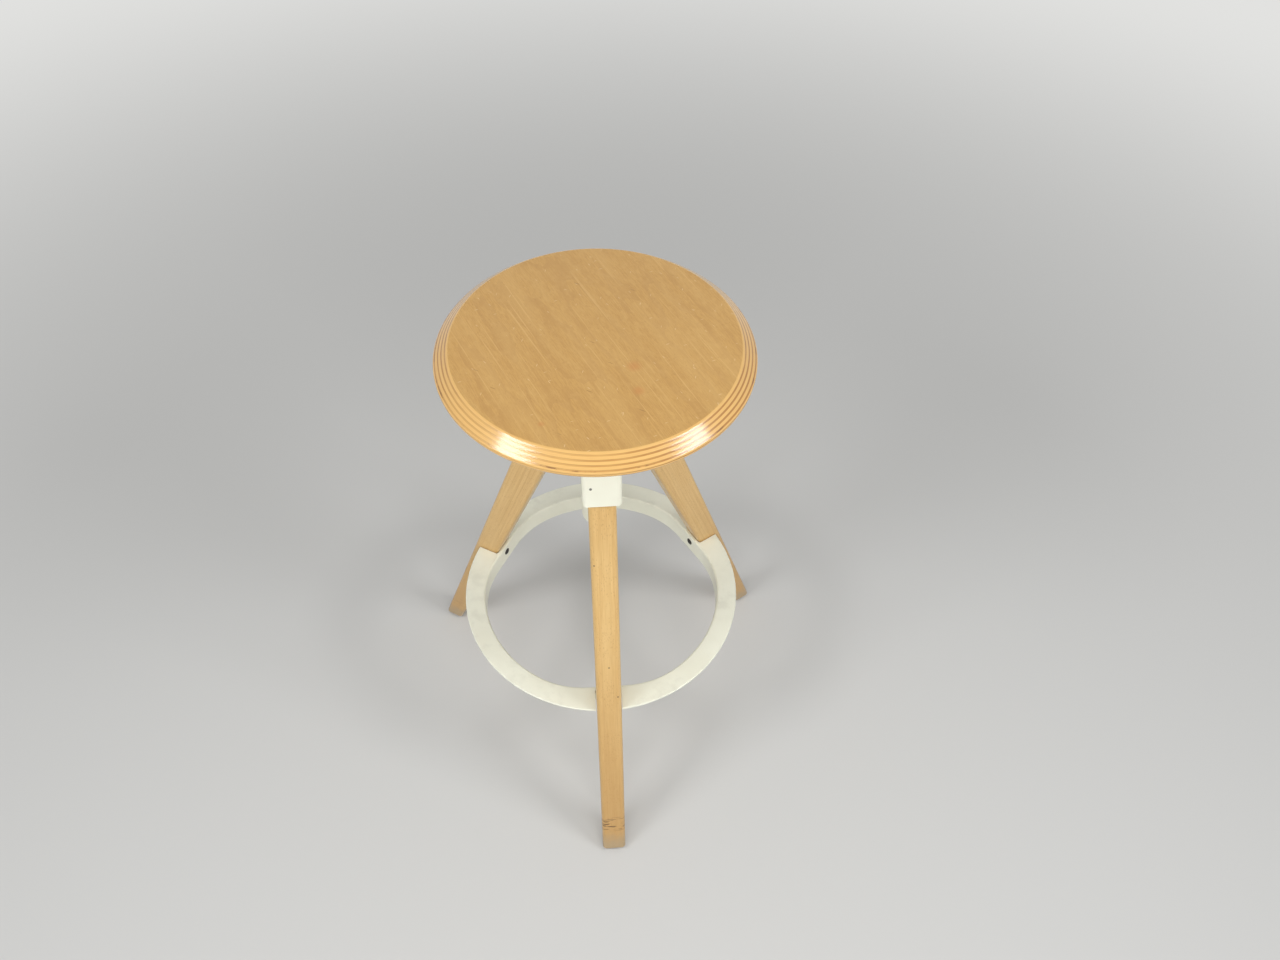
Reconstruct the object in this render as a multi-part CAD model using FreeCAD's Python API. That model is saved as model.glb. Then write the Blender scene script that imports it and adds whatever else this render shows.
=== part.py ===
"""Bar stool with a round plywood seat that screws up and down on three splayed beech legs.

Millimetres, +Z up. The origin is on the floor under the seat's spindle, and the front leg points along -Y.
The seat is stored at the height seen in the photograph, inside the travel of its screw.
"""
import FreeCAD, Part
import math
import os

os.makedirs("parts", exist_ok=True)

# Seat board, with the gap that its screw leaves above the nut as it stands in the photograph
seat_gap = 69.0
seat_diameter = 350.0
seat_thickness = 21.0
seat_bevel_width = 16.7
seat_bevel_drop = 13.6
seat_shoulder_round = 5.0
seat_rim_round = 3.5
seat_bottom_round = 4.5

# Legs, as radii from the stool's axis at the floor, and depths there and at the head
leg_names = ("leg_front", "leg_right", "leg_left")
first_leg_degrees = -90.0
leg_width = 32.8
leg_edge_round = 5.0
foot_reach = 294.0
foot_depth = 28.5
foot_edge_round = 5.0
head_height = 600.0
head_depth = 50.7

# Glides nailed under the feet
glide_diameter = 16.0
glide_height = 3.0
glide_edge_round = 1.2
nail_diameter = 2.6
nail_head_diameter = 6.0
nail_head_height = 1.2
nail_length = 18.0

# Hub casting with a socket for each leg
socket_wall = 6.4
socket_depth = 43.5
socket_roof = 6.5
socket_edge_round = 5.0
socket_inner_wall = 5.75
boss_wall = 3.95
boss_rise = 36.0
boss_length = 90.0
boss_edge_round = 2.0

# Tube that guides the spindle below the hub, and the nut above it
tube_diameter = 46.0
tube_wall = 4.0
tube_length = 165.0
nut_length = 36.0
nut_flange_height = 4.0
nut_edge_chamfer = 1.0

# Spindle, its plate under the seat and its stop
spindle_diameter = 22.0
spindle_length = 206.0
spindle_end_diameter = 16.0
sleeve_length = 24.0
plate_diameter = 160.0
plate_thickness = 5.0
plate_edge_round = 2.0
weld_height = 5.0
stop_washer_diameter = 30.0
stop_washer_thickness = 3.0
stop_screw_diameter = 8.0
stop_screw_length = 22.0
stop_head_diameter = 13.0
stop_head_height = 5.0

# Screws that hold the plate to the seat board
plate_screw_count = 6
plate_screw_inset = 16.0
plate_screw_diameter = 4.8
plate_screw_head_diameter = 9.5
plate_screw_head_height = 2.8
plate_screw_length = 21.0
screw_point_length = 4.0

# Bolts that pull the legs into their sockets
leg_bolt_diameter = 8.0
leg_bolt_flats = 13.0
leg_bolt_head_height = 5.3
leg_washer_diameter = 18.0
leg_washer_thickness = 1.6
barrel_nut_diameter = 12.0
barrel_nut_length = 22.0
barrel_nut_depth = 30.0
bolt_end_beyond_nut = 3.0

# Footrest ring, an angle with its flange outwards on top, its wall inside and a pad at each leg
ring_top_height = 257.0
ring_flange_width = 28.0
ring_wall_height = 31.0
ring_thickness = 4.0
ring_pad_depth = 1.0
ring_flat_inset = 7.8
ring_flat_blend = 120.0
ring_inner_round = 3.0
ring_rim_round = 1.5
ring_corner_round = 4.0
notch_corner_round = 3.0

# Screws that hold the ring to the legs
ring_screw_diameter = 5.0
ring_screw_length = 36.0
ring_screw_head_diameter = 10.4
ring_screw_head_height = 1.8
ring_screw_crown_diameter = 6.4
ring_screw_drop = 12.5

# Fits, each the play on one side
notch_clearance = 1.2
notch_floor_clearance = 0.5
socket_clearance = 0.2
bolt_clearance = 0.25
press_clearance = 0.05
running_clearance = 0.15
sliding_clearance = 0.25
end_clearance = 0.3

UP = FreeCAD.Vector(0, 0, 1)
SIDEWAYS = FreeCAD.Vector(0, 1, 0)
CENTRE = FreeCAD.Vector(0, 0, 0)
NEAR = 1e-6
FULL_TURN = 360.0
HEXAGON_SIDES = 6

leg_azimuths = {}
for index, name in enumerate(leg_names):
    leg_azimuths[name] = first_leg_degrees + FULL_TURN * index / len(leg_names)


def spot(radius, height, side=0.0):
    """A point in a leg's own upright plane, before it is turned to the leg's azimuth."""
    return FreeCAD.Vector(radius, side, height)


def turned(shape, azimuth):
    """A copy of a shape, turned about the stool's axis."""
    copy = shape.copy()
    copy.rotate(CENTRE, UP, azimuth)
    return copy


def at_each_leg(shape):
    """One copy of a shape for every leg, in one compound."""
    return Part.Compound([turned(shape, azimuth) for azimuth in leg_azimuths.values()])


def placed(shape, start, direction):
    """Stands a shape that was made along +Z on a point, along a direction."""
    shape.Placement = FreeCAD.Placement(start, FreeCAD.Rotation(UP, direction))
    return shape


def rod(diameter, bottom, top):
    """An upright cylinder on the axis."""
    return Part.makeCylinder(diameter / 2, top - bottom, FreeCAD.Vector(0, 0, bottom), UP)


def lathe(points):
    """Turns an outline of (radius, height) points about the axis."""
    corners = [spot(radius, height) for radius, height in points]
    outline = Part.makePolygon(corners + corners[:1])
    return Part.Face(outline).revolve(CENTRE, UP, FULL_TURN)


def slab(points, width):
    """A slab of some width across a leg's plane, from an outline of (radius, height) points."""
    corners = [spot(radius, height, -width / 2) for radius, height in points]
    outline = Part.makePolygon(corners + corners[:1])
    return Part.Face(outline).extrude(FreeCAD.Vector(0, width, 0))


def crossing(line_a, line_b):
    """Where two lines of a leg's plane cross, each given by two (radius, height) points."""
    (ax, az), (bx, bz) = line_a
    (cx, cz), (dx, dz) = line_b
    turn = (bx - ax) * (dz - cz) - (bz - az) * (dx - cx)
    share = ((cx - ax) * (dz - cz) - (cz - az) * (dx - cx)) / turn
    return (ax + share * (bx - ax), az + share * (bz - az))


def shifted(line, distance):
    """A line that runs up a leg, moved square to itself, outwards for a positive distance."""
    (ax, az), (bx, bz) = line
    length = math.hypot(bx - ax, bz - az)
    across = distance * (bz - az) / length
    rise = -distance * (bx - ax) / length
    return ((ax + across, az + rise), (bx + across, bz + rise))


def edges_along(shape, direction, least=0.9):
    """The straight edges of a shape that run along a direction."""
    kept = []
    for edge in shape.Edges:
        heading = edge.tangentAt(edge.FirstParameter)
        straight = edge.Curve.TypeId == "Part::GeomLine"
        if straight and abs(heading.dot(direction)) > least:
            kept.append(edge)
    return kept


def edges_level(shape, height, low_radius, high_radius):
    """The edges that lie at one height between two radii from the axis."""
    kept = []
    for edge in shape.Edges:
        middle = edge.valueAt((edge.FirstParameter + edge.LastParameter) / 2)
        radius = math.hypot(middle.x, middle.y)
        flat = edge.BoundBox.ZMax - edge.BoundBox.ZMin < NEAR
        level = abs(middle.z - height) < NEAR
        if flat and level and low_radius < radius < high_radius:
            kept.append(edge)
    return kept


# Lines of a leg in its own plane: its two edges, and cuts square to its middle line
bore_radius = tube_diameter / 2 + press_clearance
head_inside = bore_radius + socket_inner_wall + socket_clearance
outer_line = ((foot_reach, 0.0), (head_inside + head_depth, head_height))
inner_line = ((foot_reach - foot_depth, 0.0), (head_inside, head_height))
head_middle = head_inside + head_depth / 2
foot_middle = foot_reach - foot_depth / 2
leg_tilt = math.atan2(foot_middle - head_middle, head_height)
leg_up = FreeCAD.Vector(-math.sin(leg_tilt), 0, math.cos(leg_tilt))
leg_out = FreeCAD.Vector(math.cos(leg_tilt), 0, math.sin(leg_tilt))


def along_leg(distance):
    """A point on the leg's middle line, measured up from the middle of its head."""
    return spot(head_middle, head_height) + leg_up * distance


def cut_across(distance):
    """The line square across the leg at a distance up from its head."""
    start = along_leg(distance)
    end = start + leg_out
    return ((start.x, start.z), (end.x, end.z))


def level_line(height):
    """A level line of the leg's plane."""
    return ((0.0, height), (1.0, height))


# Places that follow from the sizes above, from the hub up to the seat and down to the tube
hub_top_height = head_height + boss_rise
boss_diameter = 2 * (bore_radius + boss_wall)
plate_underside = hub_top_height + nut_flange_height + seat_gap
seat_underside = plate_underside + plate_thickness
seat_height = seat_underside + seat_thickness
spindle_bottom = plate_underside - spindle_length
sleeve_top = spindle_bottom + sleeve_length
nut_bottom = hub_top_height - nut_length
tube_bottom_height = nut_bottom - tube_length
plate_screw_circle = plate_diameter - 2 * plate_screw_inset
bolt_tip_depth = barrel_nut_depth + barrel_nut_diameter / 2 + bolt_end_beyond_nut

# The ring's places, from the legs' inner faces outwards
ring_bottom_height = ring_top_height - ring_wall_height
ring_flat_distance = crossing(inner_line, level_line(ring_top_height))[0] - ring_pad_depth - ring_thickness
ring_wall_radius = ring_flat_distance + ring_flat_inset
ring_diameter = 2 * (ring_wall_radius + ring_flange_width)
ring_screw_height = ring_top_height - ring_screw_drop


def make_seat_board():
    """Plywood disc with a wide bevel round its top, eased at the shoulder, the rim and below."""
    radius = seat_diameter / 2
    rim_height = seat_height - seat_bevel_drop
    shoulder = radius - seat_bevel_width
    board = lathe([
        (0, seat_underside),
        (radius, seat_underside),
        (radius, rim_height),
        (shoulder, seat_height),
        (0, seat_height),
    ])
    board = board.makeFillet(seat_shoulder_round, edges_level(board, seat_height, 0, radius))
    board = board.makeFillet(seat_rim_round, edges_level(board, rim_height, shoulder, 2 * radius))
    board = board.makeFillet(seat_bottom_round, edges_level(board, seat_underside, shoulder, 2 * radius))
    hole_diameter = plate_screw_diameter + 2 * press_clearance
    screw_top = plate_underside + plate_screw_length
    return board.cut(at_plate_screws(rod(hole_diameter, seat_underside, screw_top + end_clearance)))


def at_plate_screws(shape):
    """Copies of an upright shape on the axis, set round the plate's screw circle."""
    copies = []
    for index in range(plate_screw_count):
        copy = shape.copy()
        copy.translate(FreeCAD.Vector(plate_screw_circle / 2, 0, 0))
        copies.append(turned(copy, FULL_TURN * index / plate_screw_count))
    return Part.Compound(copies)


def plate_screw(play):
    """Countersunk wood screw, head down; play makes the countersunk hole that it sits in."""
    head = plate_screw_head_diameter / 2 + play
    shank = plate_screw_diameter / 2 + play
    shank_bottom = plate_underside + plate_screw_head_height
    tip = plate_underside + plate_screw_length
    return lathe([
        (0, plate_underside),
        (head, plate_underside),
        (shank, shank_bottom),
        (shank, tip - screw_point_length),
        (0, tip),
    ])


def make_seat_plate():
    """Round steel plate under the board, with countersunk holes and a hole for the spindle's top."""
    plate = rod(plate_diameter, plate_underside, seat_underside)
    plate = plate.makeFillet(plate_edge_round, edges_level(plate, plate_underside, 0, plate_diameter))
    plate = plate.cut(at_plate_screws(plate_screw(press_clearance)))
    return plate.cut(rod(spindle_end_diameter + 2 * press_clearance, plate_underside, seat_underside))


def make_spindle():
    """Steel spindle: a tenon through the plate, a weld round it, the threaded length and a thinner end."""
    body = spindle_diameter / 2
    end = spindle_end_diameter / 2
    spindle = lathe([
        (0, spindle_bottom),
        (end, spindle_bottom),
        (end, sleeve_top),
        (body, sleeve_top),
        (body, plate_underside - weld_height),
        (body + weld_height, plate_underside),
        (end, plate_underside),
        (end, seat_underside),
        (0, seat_underside),
    ])
    hole_top = spindle_bottom - stop_washer_thickness + stop_screw_length + end_clearance
    return spindle.cut(rod(stop_screw_diameter + 2 * press_clearance, spindle_bottom, hole_top))


def make_guide_sleeve():
    """Nylon sleeve that turns free on the spindle's end and slides in the tube."""
    tube_bore = tube_diameter - 2 * tube_wall
    bottom = spindle_bottom + end_clearance
    top = sleeve_top - end_clearance
    sleeve = rod(tube_bore - 2 * sliding_clearance, bottom, top)
    sleeve = sleeve.makeChamfer(nut_edge_chamfer, sleeve.Edges)
    return sleeve.cut(rod(spindle_end_diameter + 2 * running_clearance, bottom, top))


def make_stop_washer():
    """Thick washer under the sleeve, which stops the spindle at the nut."""
    bottom = spindle_bottom - stop_washer_thickness
    washer = rod(stop_washer_diameter, bottom, spindle_bottom)
    return washer.cut(rod(stop_screw_diameter + 2 * bolt_clearance, bottom, spindle_bottom))


def make_stop_screw():
    """Screw in the spindle's end that holds the stop washer."""
    seat = spindle_bottom - stop_washer_thickness
    head = hexagon(stop_head_diameter, stop_head_height)
    head.translate(UP * (seat - stop_head_height))
    return head.fuse(rod(stop_screw_diameter, seat, seat + stop_screw_length))


def hexagon(flats, height):
    """Hexagonal head along +Z, flats being its width across them."""
    step = 2 * math.pi / HEXAGON_SIDES
    corner = flats / 2 / math.cos(step / 2)
    points = []
    for index in range(HEXAGON_SIDES):
        points.append(FreeCAD.Vector(corner * math.cos(step * index), corner * math.sin(step * index), 0))
    return Part.Face(Part.makePolygon(points + points[:1])).extrude(FreeCAD.Vector(0, 0, height))


def make_spindle_nut():
    """Flanged nut that the spindle screws through, seated in the hub's boss."""
    body = tube_diameter / 2
    flange = boss_diameter / 2
    top = hub_top_height + nut_flange_height
    nut = lathe([
        (0, nut_bottom),
        (body, nut_bottom),
        (body, hub_top_height),
        (flange, hub_top_height),
        (flange, top - nut_edge_chamfer),
        (flange - nut_edge_chamfer, top),
        (0, top),
    ])
    return nut.cut(rod(spindle_diameter + 2 * running_clearance, nut_bottom, top))


def make_guide_tube():
    """Tube pressed into the boss from below, up to the nut."""
    tube = rod(tube_diameter, tube_bottom_height, nut_bottom)
    tube = tube.cut(rod(tube_diameter - 2 * tube_wall, tube_bottom_height, nut_bottom))
    return tube.makeFillet(nut_edge_chamfer, edges_level(tube, tube_bottom_height, 0, tube_diameter))


def leg_slab(play, bottom_line, top_line, width):
    """The leg's tapered slab between two lines, grown by play on its edges."""
    outer = shifted(outer_line, play)
    inner = shifted(inner_line, -play)
    return slab([
        crossing(inner, bottom_line),
        crossing(outer, bottom_line),
        crossing(outer, top_line),
        crossing(inner, top_line),
    ], width)


def make_hub():
    """Casting of a boss and three sockets, each open below and roofed square to its leg."""
    grown = socket_clearance + socket_wall
    width = leg_width + 2 * grown
    rim = cut_across(-socket_depth)
    socket = leg_slab(grown, rim, cut_across(socket_roof), width)
    outside = [edge for edge in edges_along(socket, leg_up) if edge.CenterOfMass.x > head_middle]
    socket = socket.makeFillet(socket_edge_round, outside + edges_along(socket, leg_out))
    pocket_width = leg_width + 2 * socket_clearance
    pocket = leg_slab(socket_clearance, cut_across(-2 * socket_depth), cut_across(0), pocket_width)
    pocket = pocket.makeFillet(leg_edge_round, edges_along(pocket, leg_up))
    hole = Part.makeCylinder(leg_bolt_diameter / 2 + bolt_clearance, 2 * socket_roof, along_leg(0), leg_up)
    boss_bottom = hub_top_height - boss_length
    boss = rod(boss_diameter, boss_bottom, hub_top_height)
    boss = boss.makeFillet(boss_edge_round, edges_level(boss, boss_bottom, 0, boss_diameter))
    hub = boss.fuse([turned(socket, azimuth) for azimuth in leg_azimuths.values()])
    bore = rod(2 * bore_radius, boss_bottom, hub_top_height)
    return hub.cut([bore, at_each_leg(pocket), at_each_leg(hole)]).removeSplitter()


def make_leg():
    """Beech leg, wider at its head, with rounded edges and the bores for its fasteners."""
    leg = leg_slab(0.0, level_line(glide_height), cut_across(0), leg_width)
    leg = leg.makeFillet(leg_edge_round, edges_along(leg, leg_up))
    foot_edges = [edge for edge in leg.Edges if edge.BoundBox.ZMax < glide_height + NEAR]
    leg = leg.makeFillet(foot_edge_round, foot_edges)
    bolt_bore = Part.makeCylinder(leg_bolt_diameter / 2 + bolt_clearance, bolt_tip_depth + end_clearance,
                                  along_leg(0), -leg_up)
    nut_bore = Part.makeCylinder(barrel_nut_diameter / 2 + press_clearance, leg_width,
                                 along_leg(-barrel_nut_depth) - SIDEWAYS * (leg_width / 2), SIDEWAYS)
    screw_radius = ring_screw_diameter / 2 + press_clearance
    screw_start = spot(ring_flat_distance, ring_screw_height)
    screw_bore = Part.makeCylinder(screw_radius, ring_screw_length + end_clearance, screw_start, spot(1, 0))
    nail_bore = Part.makeCylinder(nail_diameter / 2 + press_clearance, nail_length,
                                  spot(foot_middle, glide_height), UP)
    return leg.cut([bolt_bore, nut_bore, screw_bore, nail_bore])


def make_leg_bolts():
    """Hexagon bolts down through the socket roofs into the barrel nuts."""
    seat = socket_roof + leg_washer_thickness
    bolt = hexagon(leg_bolt_flats, leg_bolt_head_height)
    shank = Part.makeCylinder(leg_bolt_diameter / 2, seat + bolt_tip_depth, CENTRE, -UP)
    return at_each_leg(placed(bolt.fuse(shank), along_leg(seat), leg_up))


def make_leg_washers():
    """Washers between the bolt heads and the socket roofs."""
    washer = rod(leg_washer_diameter, 0, leg_washer_thickness)
    washer = washer.cut(rod(leg_bolt_diameter + 2 * bolt_clearance, 0, leg_washer_thickness))
    return at_each_leg(placed(washer, along_leg(socket_roof), leg_up))


def make_barrel_nuts():
    """Cross dowels in the leg heads, which the bolts screw into."""
    centre = along_leg(-barrel_nut_depth)
    start = centre - SIDEWAYS * (barrel_nut_length / 2)
    nut = Part.makeCylinder(barrel_nut_diameter / 2, barrel_nut_length, start, SIDEWAYS)
    thread_bottom = centre - leg_up * barrel_nut_diameter
    thread_radius = leg_bolt_diameter / 2 + press_clearance
    thread = Part.makeCylinder(thread_radius, 2 * barrel_nut_diameter, thread_bottom, leg_up)
    return at_each_leg(nut.cut(thread))


def ring_prism(radius, flat_distance, bottom, top):
    """A round prism with a flat opposite each leg, whose ends blend into the round."""
    prism = rod(2 * radius, bottom, top)
    beyond = Part.makeBox(radius, 2 * radius, top - bottom, spot(flat_distance, bottom, -radius))
    prism = prism.cut(at_each_leg(beyond))
    corners = [edge for edge in edges_along(prism, UP) if edge.CenterOfMass.Length > 0]
    return prism.makeFillet(ring_flat_blend, corners)


def make_footrest_ring():
    """Cast angle ring: a flange outwards on top, a wall inside, and a wedge pad behind each leg flat."""
    wall_outer = ring_wall_radius + ring_thickness
    flat_outer = ring_flat_distance + ring_thickness
    flange_bottom = ring_top_height - ring_thickness
    wall = ring_prism(wall_outer, flat_outer, ring_bottom_height, ring_top_height)
    ring = rod(ring_diameter, flange_bottom, ring_top_height).fuse(wall)
    ring = ring.cut(ring_prism(ring_wall_radius, ring_flat_distance, ring_bottom_height, ring_top_height))
    ring = ring.removeSplitter()
    between = ring_diameter / 2 - ring_thickness
    rims = edges_level(ring, ring_top_height, between, ring_diameter)
    rims += edges_level(ring, flange_bottom, between, ring_diameter)
    rims += edges_level(ring, ring_bottom_height, 0, ring_diameter)
    ring = ring.makeFillet(ring_rim_round, rims)
    ring = ring.makeFillet(ring_corner_round, edges_level(ring, flange_bottom, 0, between))
    inner_rim = edges_level(ring, ring_top_height, 0, between - ring_corner_round)
    ring = ring.makeFillet(ring_inner_round, inner_rim)
    pad_width = leg_width - 2 * leg_edge_round
    pad = slab([
        (flat_outer - ring_thickness / 2, ring_bottom_height + ring_rim_round),
        crossing(inner_line, level_line(ring_bottom_height + ring_rim_round)),
        crossing(inner_line, level_line(flange_bottom)),
        (flat_outer - ring_thickness / 2, flange_bottom),
    ], pad_width)
    notch_floor = crossing(inner_line, level_line(ring_top_height))[0] - notch_floor_clearance
    notch_width = leg_width + 2 * notch_clearance
    notch = Part.makeBox(ring_diameter, notch_width, ring_wall_height,
                         spot(notch_floor, flange_bottom, -notch_width / 2))
    floor_corners = [edge for edge in edges_along(notch, UP) if edge.CenterOfMass.x < notch_floor + NEAR]
    notch = notch.makeFillet(notch_corner_round, floor_corners)
    hole = Part.makeCylinder(ring_screw_diameter / 2 + bolt_clearance, ring_screw_length,
                             spot(ring_flat_distance, ring_screw_height), spot(1, 0))
    ring = ring.cut(at_each_leg(notch))
    ring = ring.fuse([turned(pad, azimuth) for azimuth in leg_azimuths.values()])
    return ring.cut(at_each_leg(hole)).removeSplitter()


def make_ring_screws():
    """Round-headed screws from inside the ring into the legs."""
    head = ring_screw_head_diameter / 2
    crown = ring_screw_crown_diameter / 2
    shank = ring_screw_diameter / 2
    screw = lathe([
        (0, -ring_screw_head_height),
        (crown, -ring_screw_head_height),
        (head, -ring_screw_head_height / 2),
        (head, 0),
        (shank, 0),
        (shank, ring_screw_length - screw_point_length),
        (0, ring_screw_length),
    ])
    return at_each_leg(placed(screw, spot(ring_flat_distance, ring_screw_height), spot(1, 0)))


def make_foot_glides():
    """Nylon discs under the feet, sunk in the middle for the nail's head."""
    glide = rod(glide_diameter, 0, glide_height)
    glide = glide.makeFillet(glide_edge_round, edges_level(glide, 0, 0, glide_diameter))
    sink_top = (glide_height + nail_head_height) / 2
    glide = glide.cut(rod(nail_head_diameter + 2 * press_clearance, 0, sink_top))
    glide = glide.cut(rod(nail_diameter + 2 * press_clearance, 0, glide_height))
    glide.translate(spot(foot_middle, 0))
    return at_each_leg(glide)


def make_glide_nails():
    """Flat-headed nails that hold the glides, their heads above the floor."""
    head_top = (glide_height + nail_head_height) / 2
    nail = rod(nail_head_diameter, head_top - nail_head_height, head_top)
    nail = nail.fuse(rod(nail_diameter, head_top, head_top + nail_length - glide_height))
    nail.translate(spot(foot_middle, 0))
    return at_each_leg(nail)


pieces = {
    "seat_board": make_seat_board(),
    "seat_plate": make_seat_plate(),
    "seat_plate_screws": at_plate_screws(plate_screw(0.0)),
    "spindle": make_spindle(),
    "guide_sleeve": make_guide_sleeve(),
    "stop_washer": make_stop_washer(),
    "stop_screw": make_stop_screw(),
    "spindle_nut": make_spindle_nut(),
    "guide_tube": make_guide_tube(),
    "hub": make_hub(),
    "leg_bolts": make_leg_bolts(),
    "leg_washers": make_leg_washers(),
    "leg_barrel_nuts": make_barrel_nuts(),
    "footrest_ring": make_footrest_ring(),
    "ring_screws": make_ring_screws(),
    "foot_glides": make_foot_glides(),
    "glide_nails": make_glide_nails(),
}
leg = make_leg()
for name, azimuth in leg_azimuths.items():
    pieces[name] = turned(leg, azimuth)

for name, shape in pieces.items():
    shape.exportStep("parts/" + name + ".step")
    state = "valid" if shape.isValid() else "BAD"
    print(name, len(shape.Solids), "solids", round(shape.Volume), "mm3", state)
print("seat top", seat_height, "ring diameter", round(ring_diameter, 2), "tube end", tube_bottom_height)
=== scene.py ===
# %% [markdown]
# # A bar stool that screws up and down
#
# The stool has a round plywood seat on a threaded spindle, a painted hub with three splayed beech legs,
# and a painted footrest ring. The solids are already exact, so this lesson gives them their finishes,
# and works out the pieces whose detail is too fine for the solids: plies, threads and screw heads.

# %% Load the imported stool
import bpy
import math
import numpy as np
from mathutils import Matrix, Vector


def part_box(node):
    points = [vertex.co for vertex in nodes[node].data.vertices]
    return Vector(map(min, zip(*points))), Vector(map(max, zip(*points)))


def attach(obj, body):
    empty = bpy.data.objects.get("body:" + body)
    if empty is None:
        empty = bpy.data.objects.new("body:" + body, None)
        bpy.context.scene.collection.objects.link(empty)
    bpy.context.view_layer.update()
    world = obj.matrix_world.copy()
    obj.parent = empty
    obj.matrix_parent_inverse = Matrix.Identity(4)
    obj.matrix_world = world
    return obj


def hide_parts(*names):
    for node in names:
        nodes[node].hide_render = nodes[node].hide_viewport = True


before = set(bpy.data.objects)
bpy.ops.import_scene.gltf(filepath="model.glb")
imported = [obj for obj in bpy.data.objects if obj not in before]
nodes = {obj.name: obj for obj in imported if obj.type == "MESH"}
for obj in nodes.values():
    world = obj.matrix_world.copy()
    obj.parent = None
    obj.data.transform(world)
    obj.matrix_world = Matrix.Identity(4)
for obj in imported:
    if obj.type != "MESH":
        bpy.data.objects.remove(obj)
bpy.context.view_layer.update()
MM = 0.001

# %% [markdown]
# ## The camera
#
# The picture looks down on the stool from the front, about fifty degrees down, from close by. A wide lens
# this near makes the seat look large and the feet small. The camera's three axes are worked out from its
# pitch, yaw and roll and put into its matrix, so that no aiming object is needed.

# %% Camera at the picture's viewing angle
IMAGE_WIDTH = 1280
FOCAL_PIXELS = 980.0
SENSOR_WIDTH = 36.0
CAMERA_PLACE = np.array([-0.02665, -0.7819, 1.45254])
CAMERA_PITCH, CAMERA_YAW, CAMERA_ROLL = np.radians([50.621, 5.726, 1.582])


def camera_axes(pitch, yaw, roll):
    """Right, up and forward of a camera that is turned by yaw, dipped by pitch and then rolled."""
    forward = np.array([
        math.sin(yaw) * math.cos(pitch),
        math.cos(yaw) * math.cos(pitch),
        -math.sin(pitch),
    ])
    level = np.array([math.cos(yaw), -math.sin(yaw), 0.0])
    upright = np.cross(level, forward)
    right = math.cos(roll) * level + math.sin(roll) * upright
    up = math.cos(roll) * upright - math.sin(roll) * level
    return right, up, forward


def aim(thing, right, up, back, place):
    """Gives an object the matrix whose columns are its right, up and back axes and its place."""
    turn = Matrix.Identity(4)
    for row in range(3):
        turn[row][:] = (right[row], up[row], back[row], place[row])
    thing.matrix_world = turn


def make_camera():
    """A camera whose lens gives the picture's focal length in pixels."""
    data = bpy.data.cameras.new("stool_camera")
    data.sensor_fit = "HORIZONTAL"
    data.sensor_width = SENSOR_WIDTH
    data.lens = SENSOR_WIDTH * FOCAL_PIXELS / IMAGE_WIDTH
    camera = bpy.data.objects.new("stool_camera", data)
    right, up, forward = camera_axes(CAMERA_PITCH, CAMERA_YAW, CAMERA_ROLL)
    aim(camera, right, up, -forward, CAMERA_PLACE)
    bpy.context.scene.collection.objects.link(camera)
    bpy.context.scene.camera = camera
    return camera


stool_camera = make_camera()
print("camera lens", round(stool_camera.data.lens, 2), "mm")

# %% [markdown]
# ## Places read from the frame
#
# Every new piece stands where its solid stands, so the places come from the solids' boxes. Only what a box
# can't tell, such as the slant of a leg or the pitch of a thread, is a named size here.

# %% Places of the seat, the plate, the spindle and the legs
LEG_AZIMUTHS = {"leg_front": -90.0, "leg_right": 30.0, "leg_left": 150.0}
LEG_HEAD_RADIUS = 54.35 * MM
LEG_HEAD_HEIGHT = 600.0 * MM
LEG_FOOT_RADIUS = 279.75 * MM
LEG_TILT = math.atan2(LEG_FOOT_RADIUS - LEG_HEAD_RADIUS, LEG_HEAD_HEIGHT)
seat_low, seat_high = np.array(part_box("seat_board"))
plate_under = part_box("seat_plate")[0][2]
ring_top_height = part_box("footrest_ring")[1][2]
seat_radius = seat_high[0]
seat_top = seat_high[2]
seat_under = seat_low[2]
UPRIGHT = np.array([0.0, 0.0, 1.0])


def level_directions(azimuth):
    """Outwards and sideways at an azimuth in degrees, both level and one long."""
    around = math.radians(azimuth)
    outwards = np.array([math.cos(around), math.sin(around), 0.0])
    sideways = np.array([-math.sin(around), math.cos(around), 0.0])
    return outwards, sideways


print("seat top", round(seat_top, 4), "radius", round(seat_radius, 4))
print("leg tilt", round(math.degrees(LEG_TILT), 2), "degrees")

# %% [markdown]
# ## Surfaces worked out as arrays
#
# A turned piece is a profile carried round an axis: the point at angle a of a ring is radius times cos a,
# radius times sin a, and the ring's height. The radius may change with the angle as well, which gives
# threads, hexagons and crosses. All points of a piece are one numpy array, and a mesh is laid over it.

# %% Helpers for turned surfaces
def spun(radius, height, steps):
    """Rings of points about +Z: x = radius cos a, y = radius sin a, z = height, at even angles a."""
    angle = 2 * np.pi * np.arange(steps) / steps
    shape = np.broadcast_shapes(radius.shape, height.shape, angle.shape)
    x = np.broadcast_to(radius * np.cos(angle), shape)
    y = np.broadcast_to(radius * np.sin(angle), shape)
    return np.stack([x, y, np.broadcast_to(height, shape)], axis=-1)


def lathed(profile, steps):
    """A profile of radius and height, one point per row, carried round +Z."""
    return spun(profile[:, :1], profile[:, 1:], steps)


def placed(rings, origin, side, out):
    """Moves rings so that their axis runs out from an origin: origin + x side + y (out x side) + z out."""
    axes = np.stack([side, np.cross(out, side), out])
    return np.asarray(origin) + rings @ axes


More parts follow.
